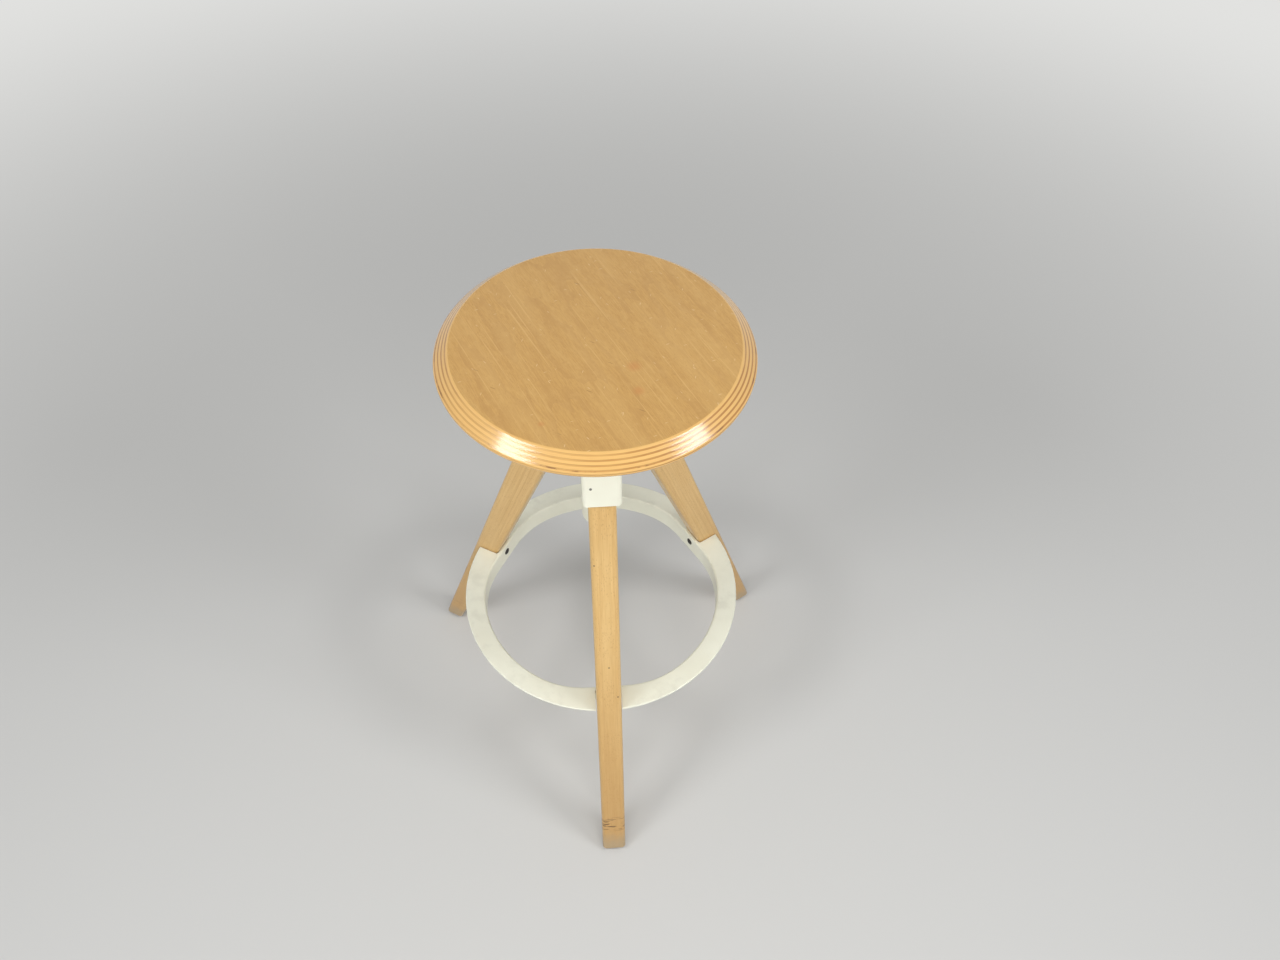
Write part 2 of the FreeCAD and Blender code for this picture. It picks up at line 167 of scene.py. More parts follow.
def skin(name, copies, finish, sharp_degrees):
    """Lays one closed mesh over grids of points, each of which has its rings from pole to pole.

    The first and last rings shrink to one vertex each. Quads join each ring to the next, and fans of
    triangles close the two poles. Edges that turn by more than the sharp angle stay crisp.
    """
    copies = np.asarray(copies)
    count, rings, steps, _ = copies.shape
    middle = copies[:, 1:-1].reshape(count, -1, 3)
    points = np.concatenate([copies[:, :1, 0], middle, copies[:, -1:, 0]], axis=1)
    here = np.arange(steps)
    after = np.roll(here, -1)
    row = 1 + steps * np.arange(rings - 3)[:, None]
    last_row = 1 + steps * (rings - 3)
    last_point = points.shape[1] - 1
    quads = np.stack([row + here, row + after, row + steps + after, row + steps + here], axis=-1)
    quads = quads.reshape(-1, 4)
    first_fan = np.stack([np.zeros_like(here), 1 + after, 1 + here], axis=-1)
    last_fan = np.stack([last_row + here, last_row + after, np.full_like(here, last_point)], axis=-1)
    starts = points.shape[1] * np.arange(count)[:, None, None]
    faces = (quads + starts).reshape(-1, 4).tolist()
    faces += (first_fan + starts).reshape(-1, 3).tolist()
    faces += (last_fan + starts).reshape(-1, 3).tolist()
    mesh = bpy.data.meshes.new(name)
    mesh.from_pydata(points.reshape(-1, 3).tolist(), [], faces)
    mesh.shade_smooth()
    mesh.set_sharp_from_angle(angle=math.radians(sharp_degrees))
    mesh.materials.append(finish)
    piece = bpy.data.objects.new(name, mesh)
    bpy.context.scene.collection.objects.link(piece)
    return piece


def hand_over(piece, body, node):
    """The piece stands for a solid: it rides on the solid's body, the solid is hidden, and how far its box
    is off the solid's is printed.
    """
    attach(piece, body)
    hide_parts(node)
    low, high = np.array(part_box(node))
    places = np.array([vertex.co for vertex in piece.data.vertices])
    off = np.abs(np.concatenate([places.min(axis=0) - low, places.max(axis=0) - high])).max()
    print(piece.name, len(piece.data.polygons), "faces, box off the solid's by", round(off / MM, 2), "mm")


print("surface helpers ready")

# %% [markdown]
# ## Shader helpers
#
# Every finish below is a small graph of nodes. A few helpers keep those graphs readable: one adds a node,
# one does arithmetic on sockets, one mixes two colours, and one gives noise whose grains have a size in
# millimetres along each axis of a turned frame. Noise with long thin grains is what wood is made of.

# %% Helpers for building finishes
def linear(red, green, blue):
    """A display colour of 0 to 255 per channel as the linear colour that shaders work in."""
    share = np.array([red, green, blue]) / 255.0
    low = share / 12.92
    high = ((share + 0.055) / 1.055) ** 2.4
    return (*np.where(share <= 0.04045, low, high).tolist(), 1.0)


def new_finish(name):
    """An empty material, its node tree and its surface shader."""
    finish = bpy.data.materials.new(name)
    finish.use_nodes = True
    return finish, finish.node_tree, finish.node_tree.nodes["Principled BSDF"]


def feed(tree, socket, value):
    """Links a socket to a value that comes from another node, or sets a constant."""
    if isinstance(value, bpy.types.NodeSocket):
        tree.links.new(value, socket)
    else:
        socket.default_value = value


def add(tree, kind, inputs, **settings):
    """Adds a node with its settings, and feeds the inputs that are given by name or number."""
    node = tree.nodes.new(kind)
    for key, value in settings.items():
        setattr(node, key, value)
    for key, value in inputs.items():
        feed(tree, node.inputs[key], value)
    return node


def calc(tree, operation, *values):
    """Arithmetic on sockets and numbers."""
    inputs = dict(enumerate(values))
    return add(tree, "ShaderNodeMath", inputs, operation=operation).outputs[0]


def rise(tree, value, low, high):
    """0 below low, 1 above high and a smooth rise between them."""
    inputs = {"Value": value, "From Min": low, "From Max": high}
    node = add(tree, "ShaderNodeMapRange", inputs, interpolation_type="SMOOTHSTEP")
    return node.outputs["Result"]


def fall(tree, value, low, high):
    """1 below low, 0 above high and a smooth fall between them."""
    return calc(tree, "SUBTRACT", 1.0, rise(tree, value, low, high))


def spread(tree, value, low, high):
    """A value of 0 to 1 stretched to run from low to high."""
    return calc(tree, "MULTIPLY_ADD", value, high - low, low)


def tint(tree, share, first, second):
    """Mixes the second colour into the first by a share."""
    inputs = {0: share, 6: first, 7: second}
    return add(tree, "ShaderNodeMix", inputs, data_type="RGBA").outputs[2]


def stain(tree, colour, second, share, strength):
    """Mixes a second colour into a colour by a share times a strength."""
    return tint(tree, calc(tree, "MULTIPLY", share, strength), colour, second)


def place_of(tree):
    """The point on the piece, in metres in the stool's own frame."""
    return add(tree, "ShaderNodeTexCoord", {}).outputs["Object"]


def axis_of(tree, place, axis):
    """One coordinate of the point: X, Y or Z."""
    return add(tree, "ShaderNodeSeparateXYZ", {0: place}).outputs[axis]


def flattened(tree, place):
    """The point moved straight down or up to height 0."""
    inputs = {0: place, 1: (1.0, 1.0, 0.0)}
    return add(tree, "ShaderNodeVectorMath", inputs, operation="MULTIPLY").outputs[0]


def length_of(tree, place):
    """The point's distance from the origin."""
    return add(tree, "ShaderNodeVectorMath", {0: place}, operation="LENGTH").outputs["Value"]


def in_frame(tree, place, grain_mm, turn=(0.0, 0.0, 0.0), origin=(0.0, 0.0, 0.0)):
    """The point in a turned frame, in units of a grain's size along each of its axes."""
    sizes = [size * MM for size in grain_mm]
    inputs = {"Vector": place, "Location": origin, "Rotation": turn, "Scale": sizes}
    return add(tree, "ShaderNodeMapping", inputs, vector_type="TEXTURE").outputs[0]


def grain(tree, place, detail=2.0, roughness=0.5, distortion=0.0):
    """Soft noise from 0 to 1 with grains one unit long."""
    inputs = {
        "Vector": place,
        "Scale": 1.0,
        "Detail": detail,
        "Roughness": roughness,
        "Distortion": distortion,
    }
    return add(tree, "ShaderNodeTexNoise", inputs).outputs[0]


def flecks(tree, place, size, share):
    """1 inside small spots, one per unit cell, in a share of the cells. Size is a spot's radius.

    A cell's spot lies where its own strewn point lies, and that point's random colour says if it shows.
    """
    inputs = {"Vector": place, "Scale": 1.0, "Randomness": 1.0}
    strewn = add(tree, "ShaderNodeTexVoronoi", inputs).outputs
    chosen = calc(tree, "LESS_THAN", axis_of(tree, strewn["Color"], "X"), share)
    return calc(tree, "MULTIPLY", chosen, fall(tree, strewn["Distance"], 0.5 * size, size))


def mark(tree, place, centre_mm, radius_mm, edge_mm):
    """1 within a radius of a point, with a soft edge."""
    centre = tuple(value * MM for value in centre_mm)
    away = add(tree, "ShaderNodeVectorMath", {0: place, 1: centre}, operation="DISTANCE").outputs["Value"]
    return fall(tree, away, (radius_mm - edge_mm) * MM, radius_mm * MM)


def relief(tree, height, depth_mm):
    """A normal that is tilted as if the surface rose by the height times a depth."""
    inputs = {"Height": height, "Distance": depth_mm * MM, "Strength": 1.0}
    return add(tree, "ShaderNodeBump", inputs).outputs["Normal"]


def lacquer(shader, weight, roughness):
    """A clear coat of one even thickness over the whole finish."""
    shader.inputs["Coat Weight"].default_value = weight
    shader.inputs["Coat Roughness"].default_value = roughness


print("finish helpers ready")

# %% [markdown]
# ## Plywood of the seat
#
# The board is thirteen thin plies, glued crosswise. On the flat faces only one veneer shows: fine grain
# that runs aslant, the contour lines of a peeled log, pale streaks, and over them scratches, a few dark
# cracks and warm knots. A picture could be wrapped round the board, but noise in the veneer's own frame
# needs none and stays sharp from near by. The bevel cuts through the plies, and there they show as stripes:
# every second ply is darker, most of all where its fibres end in the edge. The stripes come from the
# point's depth under the top, so they follow the bevel by themselves, as sanding shows them.

# %% Colours of the veneer and of the plies
PLY_COUNT = 13
ply_thickness = (seat_top - seat_under) / PLY_COUNT
VENEER_GRAIN = math.radians(115.0)
DARK_PLY_END_GRAIN = math.radians(147.0)
GLUE_SPOT_PLY = 7
VENEER_DARK = linear(195, 148, 78)
VENEER_MID = linear(207, 161, 88)
VENEER_LIGHT = linear(217, 174, 104)
PLY_LIGHT = linear(230, 184, 109)
PLY_DARK = linear(178, 122, 56)
GLUE_BROWN = linear(120, 76, 38)
VENEER_PORE = linear(172, 124, 64)
SCRATCH_PALE = linear(250, 226, 176)
WARM_STAIN = linear(204, 132, 66)
FACE_EDGE_START = 0.06 * MM
FACE_EDGE_END = 0.22 * MM
SCRATCH_DIRECTIONS = {20.0: 0.08, 75.0: 0.11, 128.0: 0.13}
CONTOUR_COUNT = 9.0
CRACK_DIRECTION = math.radians(150.0)
WARM_KNOTS = {(38.0, -42.0): 11.0, (40.0, -78.0): 9.0, (-60.0, -118.0): 5.0}


def veneer_colour(tree, place):
    """Face veneer: fine grain, the peeled log's contour lines, pale streaks, dark flecks and scratches.

    The contour lines are where a broad noise, times a count, passes a whole number, as on a map of hills.
    """
    turn = (0.0, 0.0, VENEER_GRAIN)
    fine = grain(tree, in_frame(tree, place, (10.0, 0.7, 10.0), turn), 3.0, 0.65)
    bands = grain(tree, in_frame(tree, place, (190.0, 26.0, 190.0), turn), 2.0, 0.5, 0.2)
    streaks = grain(tree, in_frame(tree, place, (150.0, 2.4, 150.0), turn), 2.0, 0.5)
    pores = flecks(tree, in_frame(tree, place, (5.0, 1.3, 5.0), turn), 0.30, 0.30)
    mottled = grain(tree, in_frame(tree, place, (13.0, 7.0, 13.0), turn), 4.0, 0.65)
    hills = grain(tree, in_frame(tree, place, (330.0, 75.0, 330.0), turn), 4.0, 0.45)
    contour = calc(tree, "FRACT", calc(tree, "MULTIPLY", hills, CONTOUR_COUNT))
    contour = calc(tree, "MULTIPLY", rise(tree, contour, 0.50, 0.97), rise(tree, fine, 0.34, 0.52))
    colour = tint(tree, rise(tree, fine, 0.36, 0.64), VENEER_DARK, VENEER_MID)
    colour = stain(tree, colour, VENEER_PORE, contour, 0.27)
    colour = stain(tree, colour, VENEER_LIGHT, rise(tree, mottled, 0.46, 0.66), 0.24)
    colour = stain(tree, colour, VENEER_LIGHT, rise(tree, bands, 0.40, 0.72), 0.35)
    colour = stain(tree, colour, VENEER_LIGHT, rise(tree, streaks, 0.62, 0.72), 0.8)
    colour = stain(tree, colour, VENEER_PORE, pores, 0.35)
    for direction, share in SCRATCH_DIRECTIONS.items():
        lines = in_frame(tree, place, (17.0, 2.4, 17.0), (0.0, 0.0, math.radians(direction)))
        scratches = flecks(tree, lines, 0.16, share)
        colour = stain(tree, colour, SCRATCH_PALE, scratches, 0.5)
    cracks = in_frame(tree, place, (30.0, 3.2, 30.0), (0.0, 0.0, CRACK_DIRECTION))
    cracks = flecks(tree, cracks, 0.17, 0.07)
    colour = stain(tree, colour, GLUE_BROWN, cracks, 0.5)
    for knot, radius in WARM_KNOTS.items():
        warm = mark(tree, place, (*knot, seat_top / MM), radius, 0.9 * radius)
        colour = stain(tree, colour, WARM_STAIN, warm, 0.45)
    return colour


def ply_colour(tree, place, depth):
    """Cut edges of the plies: depth in plies picks the ply, and the edge's direction how dark it is."""
    ply = calc(tree, "FLOOR", depth)
    across = calc(tree, "FRACT", depth)
    pair = calc(tree, "FRACT", calc(tree, "MULTIPLY", depth, 0.5))
    dark_ply = calc(tree, "SUBTRACT", rise(tree, pair, 0.50, 0.60), rise(tree, pair, 0.84, 0.94))
    uneven = grain(tree, in_frame(tree, place, (34.0, 34.0, 1.6)), 3.0, 0.55)
    level = {0: flattened(tree, place)}
    outwards = add(tree, "ShaderNodeVectorMath", level, operation="NORMALIZE").outputs[0]
    fibre = (math.cos(DARK_PLY_END_GRAIN), math.sin(DARK_PLY_END_GRAIN), 0.0)
    both = {0: outwards, 1: fibre}
    along = add(tree, "ShaderNodeVectorMath", both, operation="DOT_PRODUCT").outputs["Value"]
    ends = calc(tree, "POWER", along, 2.0)
    streaks = grain(tree, in_frame(tree, place, (14.0, 14.0, 0.4)), 2.0, 0.6)
    tone = add(tree, "ShaderNodeTexWhiteNoise", {"W": ply}, noise_dimensions="1D").outputs["Value"]
    share = calc(tree, "MULTIPLY", dark_ply, spread(tree, ends, 0.30, 1.15))
    share = calc(tree, "MULTIPLY", share, spread(tree, uneven, 0.40, 1.70))
    share = calc(tree, "ADD", share, spread(tree, streaks, -0.20, 0.24))
    share = calc(tree, "ADD", share, spread(tree, tone, -0.08, 0.08))
    colour = tint(tree, share, PLY_LIGHT, PLY_DARK)
    from_glue = calc(tree, "ABSOLUTE", calc(tree, "SUBTRACT", pair, 0.53))
    glue = fall(tree, from_glue, 0.015, 0.06)
    glue = calc(tree, "MULTIPLY", glue, spread(tree, uneven, 0.0, 0.8))
    colour = tint(tree, glue, colour, GLUE_BROWN)
    from_middle = calc(tree, "ABSOLUTE", calc(tree, "SUBTRACT", across, 0.5))
    thin = fall(tree, from_middle, 0.20, 0.42)
    spotted = calc(tree, "MULTIPLY", calc(tree, "COMPARE", ply, float(GLUE_SPOT_PLY), 0.5), thin)
    spots = rise(tree, grain(tree, in_frame(tree, place, (24.0, 24.0, 9.0)), 4.0, 0.65), 0.52, 0.62)
    return stain(tree, colour, GLUE_BROWN, calc(tree, "MULTIPLY", spotted, spots), 0.75)


print("ply thickness", round(ply_thickness / MM, 3), "mm")

# %% [markdown]
# The two colours meet where the bevel starts. Over both lies a clear glossy lacquer, with the fine grain
# just felt through it, and slightly duller in broad patches.

# %% Finish of the seat board
def make_seat_finish():
    """Lacquered plywood, with the veneer on its flat faces and the plies round its edge."""
    finish, tree, shader = new_finish("seat_plywood")
    place = place_of(tree)
    height = axis_of(tree, place, "Z")
    wander = grain(tree, in_frame(tree, place, (70.0, 70.0, 70.0)), 2.0, 0.5)
    depth = calc(tree, "DIVIDE", calc(tree, "SUBTRACT", seat_top, height), ply_thickness)
    depth = calc(tree, "ADD", depth, spread(tree, wander, -0.22, 0.22))
    on_top = rise(tree, height, seat_top - FACE_EDGE_END, seat_top - FACE_EDGE_START)
    on_bottom = fall(tree, height, seat_under + FACE_EDGE_START, seat_under + FACE_EDGE_END)
    on_face = calc(tree, "MAXIMUM", on_top, on_bottom)
    colour = tint(tree, on_face, ply_colour(tree, place, depth), veneer_colour(tree, place))
    feed(tree, shader.inputs["Base Color"], colour)
    dulled = grain(tree, in_frame(tree, place, (45.0, 45.0, 45.0)), 3.0, 0.5)
    feed(tree, shader.inputs["Roughness"], spread(tree, dulled, 0.36, 0.52))
    fine = grain(tree, in_frame(tree, place, (30.0, 0.8, 30.0), (0.0, 0.0, VENEER_GRAIN)), 2.0, 0.6)
    feed(tree, shader.inputs["Normal"], relief(tree, fine, 0.03))
    shader.inputs["Specular IOR Level"].default_value = 0.25
    lacquer(shader, 1.0, 0.15)
    return finish


seat_finish = make_seat_finish()
print("made", seat_finish.name)

# %% [markdown]
# ## Seat board
#
# The board could stay the plain solid, but a sanded plywood edge is never quite flat: soft plies are sanded
# about a hundredth of a millimetre lower than hard ones. So the board is turned from a profile whose edge
# has a point every few tenths of a millimetre, and each ply is pushed in or out a little along the normal.

# %% Profile of the board's edge
SEAT_BEVEL_WIDTH = 16.7 * MM
SEAT_BEVEL_DROP = 13.6 * MM
SEAT_ROUNDS = (4.5 * MM, 3.5 * MM, 5.0 * MM)
SEAT_EDGE_START = 24.0 * MM
SEAT_EDGE_STEP = 0.4 * MM
SEAT_FLAT_RINGS = 9
SEAT_STEPS = 192
PLY_RELIEF = 0.015 * MM


def eased(corners, rounds, arc_steps=8):
    """An outline whose inner corners are replaced by arcs: each arc is tangent to both of its sides."""
    corners = np.asarray(corners)
    parts = [corners[:1]]
    for corner, before, after, radius in zip(corners[1:-1], corners[:-2], corners[2:], rounds):
        back = (before - corner) / np.linalg.norm(before - corner)
        ahead = (after - corner) / np.linalg.norm(after - corner)
        half = math.acos(float(back @ ahead)) / 2
        middle = corner + (back + ahead) / np.linalg.norm(back + ahead) * radius / math.sin(half)
        start = corner + back * radius / math.tan(half) - middle
        end = corner + ahead * radius / math.tan(half) - middle
        sweep = math.pi - 2 * half
        share = np.linspace(0.0, 1.0, arc_steps)[:, None]
        arc = np.sin((1 - share) * sweep) * start + np.sin(share * sweep) * end
        parts.append(middle + arc / math.sin(sweep))
    return np.concatenate(parts + [corners[-1:]])


def evenly(outline, step):
    """The same outline with its points at an even step along it."""
    length = np.concatenate([[0.0], np.cumsum(np.linalg.norm(np.diff(outline, axis=0), axis=1))])
    places = np.linspace(0.0, length[-1], int(length[-1] / step) + 1)
    return np.stack([np.interp(places, length, outline[:, axis]) for axis in range(2)], axis=1)


def seat_profile():
    """Radius and height from the middle of the underside, round the edge, to the middle of the top."""
    inner = seat_radius - SEAT_EDGE_START
    edge = evenly(eased([
        (inner, seat_under),
        (seat_radius, seat_under),
        (seat_radius, seat_top - SEAT_BEVEL_DROP),
        (seat_radius - SEAT_BEVEL_WIDTH, seat_top),
        (inner, seat_top),
    ], SEAT_ROUNDS), SEAT_EDGE_STEP)
    heading = np.gradient(edge, axis=0)
    outwards = np.stack([heading[:, 1], -heading[:, 0]], axis=1)
    outwards = outwards / np.linalg.norm(heading, axis=1)[:, None]
    depth = (seat_top - edge[:, 1]) / ply_thickness
    on_cut = np.clip(np.minimum(depth, PLY_COUNT - depth) - 0.3, 0.0, 1.0)
    ply_wave = np.clip(3.0 * np.sin(np.pi * depth), -1.0, 1.0) - 1.0
    edge = edge + outwards * (PLY_RELIEF * on_cut * ply_wave)[:, None]
    flat = np.linspace(0.0, inner, SEAT_FLAT_RINGS, endpoint=False)
    below = np.stack([flat, np.full_like(flat, seat_under)], axis=1)
    above = np.stack([flat[::-1], np.full_like(flat, seat_top)], axis=1)
    return np.concatenate([below, edge, above])


seat_outline = seat_profile()
print("seat profile has", len(seat_outline), "points")

# %% Seat board as a turned surface
seat_rings = lathed(seat_outline, SEAT_STEPS)
seat_board = skin("seat_plywood_board", [seat_rings], seat_finish, 60.0)
hand_over(seat_board, "seat", "seat_board")

# %% [markdown]
# ## Beech of the legs
#
# Each leg is sawn from straight-grained beech, so its grain runs along the leg and not along an axis of the
# room. The finish is made once for each leg, with the noise frame laid along that leg: long thin grains for
# the growth rings, and short dark dashes, the ray flecks that tell beech from other woods. Each leg is
# coloured browner towards the floor, and its foot grey, where shoes and mops reach it. The front leg has a
# few nicks, and dark scuff lines across its foot.

# %% Finish of a leg
BEECH_DARK = linear(213, 171, 106)
BEECH_MID = linear(223, 184, 119)
BEECH_LIGHT = linear(234, 200, 138)
BEECH_FLECK = linear(168, 118, 66)
LOWER_LEG_BROWN = linear(190, 146, 86)
FOOT_GREY = linear(176, 154, 120)
NICK_BROWN = linear(88, 60, 36)
FRONT_LEG_NICKS = ((1.2, -174.8, 333.7), (11.6, -191.9, 286.0), (-12.5, -120.5, 485.4))
SCUFF_HEIGHT = 56.0 * MM
FRONT_LEG_SCUFF = 0.75
REAR_LEG_SCUFF = 0.15


def leg_frame(tree, place, azimuth, grain_mm):
    """The point in a leg's own frame, whose Z runs up along the leg, in units of a grain's size."""
    around = math.radians(azimuth)
    origin = (LEG_HEAD_RADIUS * math.cos(around), LEG_HEAD_RADIUS * math.sin(around), LEG_HEAD_HEIGHT)
    return in_frame(tree, place, grain_mm, (0.0, -LEG_TILT, around), origin)


def browner_lower_leg_and_foot_dirt(tree, place, colour, scuffed):
    """A browner lower leg, grey rubbed into the lowest part of a foot, and a few scuff lines across it."""
    height = axis_of(tree, place, "Z")
    patchy = grain(tree, in_frame(tree, place, (9.0, 9.0, 14.0)), 3.0, 0.6)
    # The leg is coloured browner towards the floor over its lowest forty-six centimetres.
    patchy_height = calc(tree, "ADD", height, spread(tree, patchy, -0.06, 0.06))
    lower_share = fall(tree, patchy_height, 0.02, 0.46)
    colour = stain(tree, colour, LOWER_LEG_BROWN, lower_share, 0.70)
    reach = calc(tree, "ADD", height, spread(tree, patchy, -0.012, 0.012))
    low = fall(tree, reach, 0.012, 0.046)
    colour = stain(tree, colour, FOOT_GREY, low, 0.85)
    lines = rise(tree, grain(tree, in_frame(tree, place, (14.0, 14.0, 1.8)), 2.0, 0.5), 0.55, 0.61)
    off = calc(tree, "ABSOLUTE", calc(tree, "SUBTRACT", height, SCUFF_HEIGHT))
    band = fall(tree, off, 0.006, 0.016)
    return stain(tree, colour, NICK_BROWN, calc(tree, "MULTIPLY", lines, band), scuffed)


def make_leg_finish(name, azimuth, nicks, scuffed):
    """Lacquered beech with its grain along one leg."""
    finish, tree, shader = new_finish("beech_" + name)
    place = place_of(tree)
    rings = grain(tree, leg_frame(tree, place, azimuth, (3.0, 3.0, 420.0)), 3.0, 0.55, 0.3)
    fine = grain(tree, leg_frame(tree, place, azimuth, (0.6, 0.6, 60.0)), 3.0, 0.6)
    broad = grain(tree, leg_frame(tree, place, azimuth, (26.0, 26.0, 300.0)), 2.0, 0.5)
    rays = flecks(tree, leg_frame(tree, place, azimuth, (1.5, 1.5, 5.0)), 0.36, 0.5)
    colour = tint(tree, rise(tree, rings, 0.32, 0.68), BEECH_DARK, BEECH_MID)
    colour = stain(tree, colour, BEECH_LIGHT, rise(tree, fine, 0.42, 0.70), 0.6)
    colour = stain(tree, colour, BEECH_LIGHT, rise(tree, broad, 0.48, 0.68), 0.4)
    colour = stain(tree, colour, BEECH_FLECK, rays, 0.34)
    colour = browner_lower_leg_and_foot_dirt(tree, place, colour, scuffed)
    for nick in nicks:
        spot = mark(tree, place, nick, 1.5, 0.8)
        colour = stain(tree, colour, NICK_BROWN, spot, 0.8)
    feed(tree, shader.inputs["Base Color"], colour)
    feed(tree, shader.inputs["Roughness"], spread(tree, rings, 0.36, 0.52))
    feed(tree, shader.inputs["Normal"], relief(tree, fine, 0.05))
    shader.inputs["Specular IOR Level"].default_value = 0.25
    lacquer(shader, 0.6, 0.2)
    return finish


for leg_name, leg_azimuth in LEG_AZIMUTHS.items():
    in_front = leg_name == "leg_front"
    leg_nicks = FRONT_LEG_NICKS if in_front else ()
    leg_scuff = FRONT_LEG_SCUFF if in_front else REAR_LEG_SCUFF
    leg_finish = make_leg_finish(leg_name, leg_azimuth, leg_nicks, leg_scuff)
    nodes[leg_name].material_slots[0].material = leg_finish
print("beech on", ", ".join(LEG_AZIMUTHS))

# %% [markdown]
# ## Cream paint
#
# Hub, tube and footrest ring are cast and sprayed with cream gloss paint. Sprayed paint is not mirror flat:
# it has a faint skin like an orange's. Years of shoes have greyed the top of the ring in places, and a few
# chips show the grey primer below. One chip on the front of the hub has a given place.

# %% Finish of the painted castings
CREAM = linear(243, 244, 227)
CREAM_SHADE = linear(238, 238, 220)
SHOE_GREY = linear(188, 186, 170)
PRIMER_GREY = linear(112, 112, 104)
HUB_CHIP = (-12.9, -89.5, 592.2)


def make_cream_finish():
    """Cream gloss paint with a faint orange skin, shoe marks on the ring and a few chips."""
    finish, tree, shader = new_finish("cream_gloss_paint")
    place = place_of(tree)
    height = axis_of(tree, place, "Z")
    cloudy = grain(tree, in_frame(tree, place, (60.0, 60.0, 60.0)), 3.0, 0.55)
    colour = tint(tree, rise(tree, cloudy, 0.35, 0.70), CREAM, CREAM_SHADE)
    ring_top = rise(tree, height, ring_top_height - 4.0 * MM, ring_top_height - 0.5 * MM)
    on_ring = calc(tree, "MULTIPLY", ring_top, calc(tree, "LESS_THAN", height, ring_top_height + MM))
    rubbed = rise(tree, grain(tree, in_frame(tree, place, (34.0, 34.0, 34.0)), 4.0, 0.65), 0.50, 0.74)
    rubbed = calc(tree, "MULTIPLY", rubbed, on_ring)
    colour = stain(tree, colour, SHOE_GREY, rubbed, 0.22)
    chips = flecks(tree, in_frame(tree, place, (26.0, 26.0, 26.0)), 0.045, 0.30)
    chips = calc(tree, "MAXIMUM", chips, mark(tree, place, HUB_CHIP, 2.0, 0.7))
    colour = tint(tree, chips, colour, PRIMER_GREY)
    feed(tree, shader.inputs["Base Color"], colour)
    feed(tree, shader.inputs["Roughness"], spread(tree, cloudy, 0.28, 0.42))
    skin_height = grain(tree, in_frame(tree, place, (1.6, 1.6, 1.6)), 1.0, 0.4)
    skin_height = calc(tree, "SUBTRACT", skin_height, chips)
    feed(tree, shader.inputs["Normal"], relief(tree, skin_height, 0.03))
    lacquer(shader, 0.3, 0.12)
    return finish


cream_finish = make_cream_finish()
for painted in ("hub", "guide_tube", "footrest_ring"):
    nodes[painted].material_slots[0].material = cream_finish
print("made", cream_finish.name)

# %% [markdown]
# ## Steel, brass and nylon
#
# The small pieces are metals and plastic. Each metal has its own surface: zinc plating is cloudy and a
# little yellow, the spindle is oiled steel with painted shade and dark oil in its roots, the plate is black
# satin paint with a fine grit, and the nut is brass with turning marks. Nylon is dull black with a soft
# skin.

# %% Finishes of the small pieces
ZINC = linear(196, 196, 192)
ZINC_YELLOWED = linear(176, 172, 156)
STEEL_BRIGHT = linear(206, 204, 200)
STEEL_DULL = linear(176, 172, 164)
OIL_AND_SHADE_BROWN = linear(74, 66, 56)
BRASS_BRIGHT = linear(214, 176, 98)
BRASS_BROWN = linear(166, 124, 62)
OIL_AND_SHADE_RADIUS = 9.6 * MM
RUBBED_RADIUS = 10.8 * MM


def make_zinc_finish():
    """Zinc plated steel: cloudy grey with a hint of yellow, and scratches across it."""
    finish, tree, shader = new_finish("zinc_plated_steel")
    place = place_of(tree)
    cloudy = grain(tree, in_frame(tree, place, (5.0, 5.0, 5.0)), 4.0, 0.6)
    scratched = grain(tree, in_frame(tree, place, (8.0, 0.15, 8.0), (0.4, 0.2, 0.7)), 2.0, 0.5)
    colour = tint(tree, rise(tree, cloudy, 0.35, 0.70), ZINC, ZINC_YELLOWED)
    feed(tree, shader.inputs["Base Color"], colour)
    feed(tree, shader.inputs["Roughness"], spread(tree, cloudy, 0.26, 0.50))
    feed(tree, shader.inputs["Normal"], relief(tree, scratched, 0.008))
    shader.inputs["Metallic"].default_value = 1.0
    return finish


def make_spindle_finish():
    """Oiled bare steel: bright on the crests, where the nut rubs, with painted shade and dark oil in the
    roots.
    """
    finish, tree, shader = new_finish("oiled_spindle_steel_with_shaded_roots")
    place = place_of(tree)
    oily = grain(tree, in_frame(tree, place, (16.0, 16.0, 30.0)), 3.0, 0.5)
    turned = grain(tree, in_frame(tree, place, (30.0, 30.0, 0.6)), 2.0, 0.5)
    # Below a radius the thread's roots are painted dark: painted shade in the groove, together with the oil
    # there.
    rubbed = rise(tree, length_of(tree, flattened(tree, place)), OIL_AND_SHADE_RADIUS, RUBBED_RADIUS)
    steel = tint(tree, rise(tree, oily, 0.35, 0.70), STEEL_BRIGHT, STEEL_DULL)
    colour = tint(tree, rubbed, OIL_AND_SHADE_BROWN, steel)
    feed(tree, shader.inputs["Base Color"], colour)
    feed(tree, shader.inputs["Roughness"], spread(tree, rubbed, 0.50, 0.27))
    feed(tree, shader.inputs["Normal"], relief(tree, turned, 0.004))
    shader.inputs["Metallic"].default_value = 1.0
    return finish


def make_black_finish(name, shade, rough_low, rough_high, grit_mm, depth_mm):
    """A dark coating whose grit has a size and a depth, and whose gloss is uneven."""
    finish, tree, shader = new_finish(name)
    place = place_of(tree)
    cloudy = grain(tree, in_frame(tree, place, (18.0, 18.0, 18.0)), 4.0, 0.6)
    grit = grain(tree, in_frame(tree, place, (grit_mm, grit_mm, grit_mm)), 2.0, 0.5)
    paler = tuple(min(1.0, 1.7 * value) for value in shade[:3]) + (1.0,)
    feed(tree, shader.inputs["Base Color"], tint(tree, rise(tree, cloudy, 0.40, 0.75), shade, paler))
    feed(tree, shader.inputs["Roughness"], spread(tree, cloudy, rough_low, rough_high))
    feed(tree, shader.inputs["Normal"], relief(tree, grit, depth_mm))
    return finish


